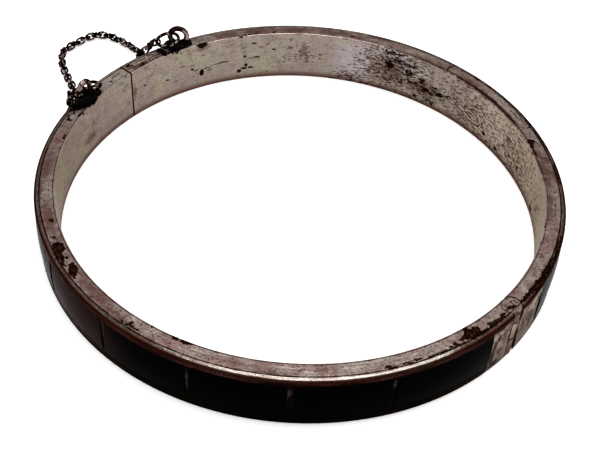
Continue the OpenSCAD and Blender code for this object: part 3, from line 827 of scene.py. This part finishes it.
# %% [markdown]
# Dirt also fills the seams on the rim: beside the liner, beside the lip, round the
# hinge's barrel and at the clasp. Their places are known, so they are calculated,
# not charted. What stands above the rim is the eyelets' wire, in its browner tone.

# %% Silver: seams and wire
BARREL_R = 1.18
BARREL_LINE = 0.06
HALF_ROUND = math.pi * MID_R

for band in silvers:
    tree = band.tree
    barrel_at = (round_at(HINGE_AT), MID_R, BAND_H)
    by_liner = between(tree, band.radius, INNER_R + LINER - 0.05, INNER_R + LINER + 0.05, 0.03)
    by_lip = between(tree, band.radius, LIP_AT - 0.07, LIP_AT + 0.1, 0.03)
    seams = times(tree, most(tree, by_liner, by_lip), ramp(tree, band.height, BAND_H - 0.14, BAND_H - 0.1),
                  ramp(tree, band.middle, 0.35, 0.6, 0.35, 1.0))
    from_pin = vec(tree, "MULTIPLY", vec(tree, "SUBTRACT", band.place, barrel_at), (1.0, 1.0, 0.0))
    round_barrel = between(tree, vec(tree, "LENGTH", from_pin),
                           BARREL_R - BARREL_LINE, BARREL_R + BARREL_LINE, 0.03)
    round_barrel = times(tree, round_barrel, band.on_rim, ramp(tree, band.middle, 0.4, 0.5))
    at_clasp = ramp(tree, calc(tree, "ABSOLUTE", band.way), HALF_ROUND - 0.17, HALF_ROUND - 0.1)
    seams = most(tree, seams, round_barrel, at_clasp)
    tone = mix(tree, times(tree, seams, 0.9), band.tone, (0.02, 0.008, 0.006))
    on_wire = ramp(tree, band.height, BAND_H + 0.02, BAND_H + 0.06)
    wire_tone = mix(tree, ramp(tree, band.middle, 0.5, 0.6), (0.03, 0.013, 0.01), (0.38, 0.3, 0.28))
    band.tone = mix(tree, on_wire, tone, wire_tone)
print("seams and wire laid")

# %% [markdown]
# Covered silver no longer mirrors the room, so one mask of all dirt, with the
# painted shadow round the eyelets, lowers the metallic share and raises the
# roughness. A darker tone alone would still gleam.
# The noises, the scratches and the crusts then shape a faint relief.

# %% Silver: metal, roughness and relief
for band in silvers:
    tree, shader, small, middle = band.tree, band.shader, band.small, band.middle
    dirt = most(tree, band.crusted, band.black, band.blotched, times(tree, band.dash, 0.7),
                band.lip_dirt, band.lines)
    rough = calc(tree, "ADD", ramp(tree, middle, 0.3, 0.7, 0.24, 0.36), times(tree, dirt, 0.25))
    rough = calc(tree, "SUBTRACT", rough, times(tree, band.on_lip, 0.12), clamp=True)
    dress(tree, shader, Base_Color=band.tone, Roughness=rough,
          Metallic=calc(tree, "SUBTRACT", 1.0, times(tree, dirt, 0.85)),
          Specular_IOR_Level=0.02, Specular_Tint=(0.62, 0.57, 0.52, 1.0))

    relief = calc(tree, "ADD", times(tree, small, 0.5), times(tree, middle, 1.4))
    relief = calc(tree, "ADD", relief, band.along)
    relief = calc(tree, "SUBTRACT", relief, times(tree, band.dash, 0.8))
    relief = calc(tree, "SUBTRACT", relief, times(tree, band.speck, 0.5))
    relief = calc(tree, "ADD", relief, times(tree, band.crusted, calc(tree, "ADD", small, 0.4)))
    emboss(tree, shader, relief, 0.06)
    print(band.material.name, "uses", len(tree.nodes), "nodes")

# %% [markdown]
# The wires are the same silver, but never polished: brown-black, with bare metal
# only where links rub on each other. A noise with a narrow ramp gives such patches,
# and no one misses a chart on links a millimetre long.

# %% Material: tarnished wire
tarnished_wire, tree, shader = start_material("tarnished_wire")
solid = use(tree, band_place).outputs["Solid"]
patches = grain(tree, solid, 1.2, detail=4.0, rough=0.6)
tone = mix(tree, ramp(tree, patches, 0.52, 0.62), (0.018, 0.008, 0.006), (0.42, 0.34, 0.32))
speck = use(tree, specks, Solid=solid, Size=0.25, Crowding=0.5)
tone = mix(tree, speck.outputs["Mask"], tone, (0.01, 0.005, 0.004))
dress(tree, shader, Base_Color=tone, Roughness=ramp(tree, patches, 0.35, 0.65, 0.36, 0.18),
      Metallic=1.0, Specular_Tint=(0.45, 0.4, 0.38, 1.0))
emboss(tree, shader, speck.outputs["Height"], 0.04)
print(tarnished_wire.name, "uses", len(tree.nodes), "nodes")

# %% [markdown]
# The stones are polished black. Nearly all that shows of them is reflection, so
# the work is in faint scratches and in a slight unevenness of the polish. At the
# left a brown film dulls them, which is two more stains of the same kind.

# %% Material: black stone
brown_film = chart("brown_film", at_radius(OUTER_R, 2.0, [
    (-140, 4, 11, 5), (-156, 4, 9, 5, 0.6),
]))

black_stone, tree, shader = start_material("black_stone")
spot = use(tree, band_place)
place, solid = spot.outputs["Place"], spot.outputs["Solid"]
scratch = use(tree, dashes, Place=place, Length=3.0, Width=0.06, Slant=0.05, Crowding=0.3)
dust = grain(tree, solid, 1.5, detail=4.0, rough=0.6)
tone = mix(tree, ramp(tree, dust, 0.5, 0.75, 0.0, 0.4), (0.0003, 0.0002, 0.0002), (0.003, 0.0016, 0.0016))
film = charted(tree, brown_film["front"], place, 0.0, 0.7)
tone = mix(tree, film, tone, (0.026, 0.009, 0.0095))
rough = calc(tree, "ADD", ramp(tree, dust, 0.3, 0.7, 0.2, 0.3), times(tree, scratch.outputs["Mask"], 0.1))
dress(tree, shader, Base_Color=tone, Roughness=rough, IOR=1.45, Specular_IOR_Level=0.012)
emboss(tree, shader, dust, 0.004)
print(black_stone.name, "uses", len(tree.nodes), "nodes")

# %% [markdown]
# Solder that was overheated is black, dull and pitted, with a few brown crumbs and
# hardly any shine. It is half metal and half scale, so its metallic share lies
# between the two, and one noise rules tone, roughness and relief together.

# %% Material: burnt solder
burnt_solder, tree, shader = start_material("burnt_solder")
solid = use(tree, band_place).outputs["Solid"]
lumps = grain(tree, solid, 2.2, detail=5.0, rough=0.65)
speck = use(tree, specks, Solid=solid, Size=0.3, Crowding=0.55)
tone = mix(tree, ramp(tree, lumps, 0.56, 0.68), (0.003, 0.0025, 0.0025), (0.035, 0.016, 0.01))
crumbs = times(tree, speck.outputs["Mask"], ramp(tree, lumps, 0.5, 0.6))
dress(tree, shader, Base_Color=mix(tree, crumbs, tone, (0.09, 0.06, 0.045)),
      Roughness=ramp(tree, lumps, 0.35, 0.65, 0.75, 0.4), Metallic=0.4, Specular_IOR_Level=0.15)
emboss(tree, shader, lumps, 0.12)
print(burnt_solder.name, "uses", len(tree.nodes), "nodes")

# %% [markdown]
# Each eyelet stands in a lump of that solder, a low dome on an oval foot. More lumps
# fill the front eyelet's hole and lie under the rings, dark masses that stand partly
# for the shade there. A smooth noise pushes its outline and its top in and out, so
# it looks run and cooled, not cut from a sheet. It could be sculpted, but numbers
# give the same lump each time.

# %% Helpers for added pieces
def settle(name, shape, material, smooth):
    """Make an object of a finished shape."""
    for face in shape.faces:
        face.smooth = smooth
    mesh = bpy.data.meshes.new(name)
    shape.to_mesh(mesh)
    shape.free()
    mesh.materials.append(material)
    made = bpy.data.objects.new(name, mesh)
    scene.collection.objects.link(made)
    print(name, len(mesh.polygons), "faces")
    return made


print("helper for added pieces ready")

# %% Solder round the eyelets' feet
RINGS, AROUND = 10, 48
ROUNDNESS = 2.4
SUNK = 0.03
LUMPS = [
    # name, angle, radius, half length, half depth, height, lumpiness
    ("front_eyelet_solder", 157.2, 31.25, 2.3, 1.0, 0.8, 0.3),
    # The fill and the two ring beds are dark solder that stands partly for the shade in the holes of the
    # eyelet and the rings.
    ("front_eyelet_fill_and_shade", 157.0, 31.6, 0.95, 0.8, 1.1, 0.2),
    ("back_eyelet_solder", 125.8, 31.3, 1.9, 0.98, 0.55, 0.3),
    ("front_ring_bed_and_shade", 154.8, 31.25, 1.1, 0.95, 0.9, 0.2),
    ("back_ring_bed_and_shade", 127.7, 32.0, 1.25, 0.75, 0.6, 0.2),
    ("back_eyelet_solder_left", 131.1, 31.3, 0.42, 0.85, 0.2, 0.4),
    ("front_eyelet_solder_bead", 161.3, 32.0, 0.42, 0.36, 0.4, 0.3),
]

for name, angle, radius, long, deep, tall, lumpy in LUMPS:
    shape = bmesh.new()
    out_way = Vector((math.cos(math.radians(angle)), math.sin(math.radians(angle)), 0.0))
    along_way = Vector((-out_way.y, out_way.x, 0.0))
    top = shape.verts.new((out_way * radius + Vector((0, 0, BAND_H + tall))) * MM)
    rings = []
    for step in range(1, RINGS + 1):
        reach = step / RINGS
        ring = []
        for k in range(AROUND):
            turn = 2 * math.pi * k / AROUND
            edge = 1.0 + lumpy * noise.noise(Vector((3 * math.cos(turn), 3 * math.sin(turn), angle)))
            spot = (along_way * (long * reach * edge * math.cos(turn))
                    + out_way * (radius + deep * reach * edge * math.sin(turn)))
            bumps = 1.0 + lumpy * noise.noise(Vector((spot.x, spot.y, angle)) * 1.6)
            rise = tall * bumps * math.sqrt(max(0.0, 1.0 - reach ** ROUNDNESS)) - SUNK
            ring.append(shape.verts.new((spot + Vector((0, 0, BAND_H + rise))) * MM))
        rings.append(ring)
    for k in range(AROUND):
        after = (k + 1) % AROUND
        shape.faces.new((top, rings[0][k], rings[0][after]))
        for inner, outer in zip(rings, rings[1:]):
            shape.faces.new((inner[k], outer[k], outer[after], inner[after]))
    shape.faces.new(list(reversed(rings[-1])))
    bmesh.ops.recalc_face_normals(shape, faces=shape.faces)
    lump = settle(name, shape, burnt_solder, smooth=True)
    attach(lump, "root")

# %% [markdown]
# An old chain is clogged: dirt and tarnish fill most of its links, and light
# comes through only a few of them. Each link's middle and the way it lies are read
# off the chain itself. Its points are sorted into links by the edges that join
# them, and the spread of a link's points gives its long way and its flat way. A
# lumpy lens of dirt then goes into the hole, between the two neighbours' wires.

# %% Measure the chain's links
def links_of(mesh):
    """The points of each link, as lists; a link's points lie next to each other."""
    furthest = list(range(len(mesh.vertices)))
    for edge in mesh.edges:
        low, high = sorted(edge.vertices)
        furthest[low] = max(furthest[low], high)
    links, start, reach = [], 0, 0
    for index, high in enumerate(furthest):
        reach = max(reach, high)
        if reach == index:
            links.append([mesh.vertices[k].co.copy() for k in range(start, index + 1)])
            start = index + 1
    return links


def lie_of(points):
    """Middle, long way and flat way of a link."""
    middle = sum(points, Vector()) / len(points)
    long_way = max((p - middle for p in points), key=lambda v: v.length).normalized()
    flat_way = max((long_way.cross(p - middle) for p in points), key=lambda v: v.length).normalized()
    return middle, long_way, flat_way


chain_links = links_of(nodes["safety_chain"].data)
print(len(chain_links), "links in the chain")

# %% Dirt that clogs the chain
EVERY, OPEN_ONE = 5, 3
HALF_LENS = (0.3, 0.34, 0.1)
UNEVEN = 0.25

shape = bmesh.new()
for number, points in enumerate(chain_links):
    if number % EVERY == OPEN_ONE:
        continue
    middle, long_way, flat_way = lie_of(points)
    wide_way = flat_way.cross(long_way)
    made = bmesh.ops.create_icosphere(shape, subdivisions=2, radius=1.0)
    for vertex in made["verts"]:
        spot = vertex.co
        lumpy = 1.0 + UNEVEN * noise.noise(spot * 2.0 + Vector((number, 0, 0)))
        vertex.co = middle + lumpy * MM * (
            HALF_LENS[0] * spot.x * long_way + HALF_LENS[1] * spot.y * wide_way
            + HALF_LENS[2] * spot.z * flat_way)
chain_dirt = settle("chain_dirt", shape, tarnished_wire, smooth=True)
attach(chain_dirt, "root")

# %% [markdown]
# The solids came with plain colours. Their meshes stay as they are, and only the
# material is exchanged, by the solid's name. The hidden tongue belongs to the front
# half, so it takes that half's silver.

# %% Put the finishes on the solids
silver_of = {band.half: band.material for band in silvers}
for name, node in nodes.items():
    if "stone" in name:
        chosen = black_stone
    elif name in ("front_half", "clasp_tongue"):
        chosen = silver_of["front"]
    elif name == "back_half":
        chosen = silver_of["back"]
    else:
        chosen = tarnished_wire
    node.data.materials.clear()
    node.data.materials.append(chosen)
print("finished", len(nodes), "solids")

# %% [markdown]
# The table in the photograph is so bright that only the soft contact shadows show
# where it is. One large square does for it. A little light of its own keeps it near
# white up to the edges of the picture, which a lamp alone would not.

# %% Floor
pale_table, tree, shader = start_material("pale_table")
dress(tree, shader, Base_Color=(0.88, 0.88, 0.88, 1.0), Roughness=0.8,
      Emission_Color=(1.0, 1.0, 1.0, 1.0), Emission_Strength=0.28)
shape = bmesh.new()
bmesh.ops.create_grid(shape, x_segments=1, y_segments=1, size=1.5)
floor = settle("floor", shape, pale_table, smooth=False)

# %% [markdown]
# Metal shows what it reflects. The flat rim mirrors the upper back of the room,
# higher up for the near rim than for the far one, so a sky that brightens towards
# the top makes the near rim the lighter one, as in the photograph. The lip is a
# bevel of 17 degrees, which mirrors what hangs straight above: one softbox there
# draws the white streak along the near lip, as long as the softbox is wide.

# %% Light
SOFTBOX_AT = Vector((0.05, 0.03, 0.5))
SOFTBOX_SIZE = (0.34, 0.11)
STRAIGHT_DOWN = Vector((0.0, 0.0, -1.0))
SKY_LOW, SKY_TOP = (0.5, 0.5, 0.51), (1.05, 1.04, 1.03)

world = bpy.data.worlds.new("studio")
scene.world = world
world.use_nodes = True
tree = world.node_tree
upness = split(tree, tree.nodes.new("ShaderNodeTexCoord").outputs["Generated"])[2]
sky_tone = mix(tree, ramp(tree, upness, 0.45, 1.0), SKY_LOW, SKY_TOP)
tree.links.new(sky_tone, tree.nodes["Background"].inputs["Color"])

softbox = bpy.data.lights.new("softbox_overhead", "AREA")
softbox.shape = "RECTANGLE"
softbox.size, softbox.size_y = SOFTBOX_SIZE
softbox.energy = 0.42
lamp = bpy.data.objects.new("softbox_overhead", softbox)
scene.collection.objects.link(lamp)
lamp.location = SOFTBOX_AT
lamp.rotation_euler = STRAIGHT_DOWN.to_track_quat("-Z", "Y").to_euler()
scene.view_settings.view_transform = "Standard"
scene.view_settings.look = "High Contrast"
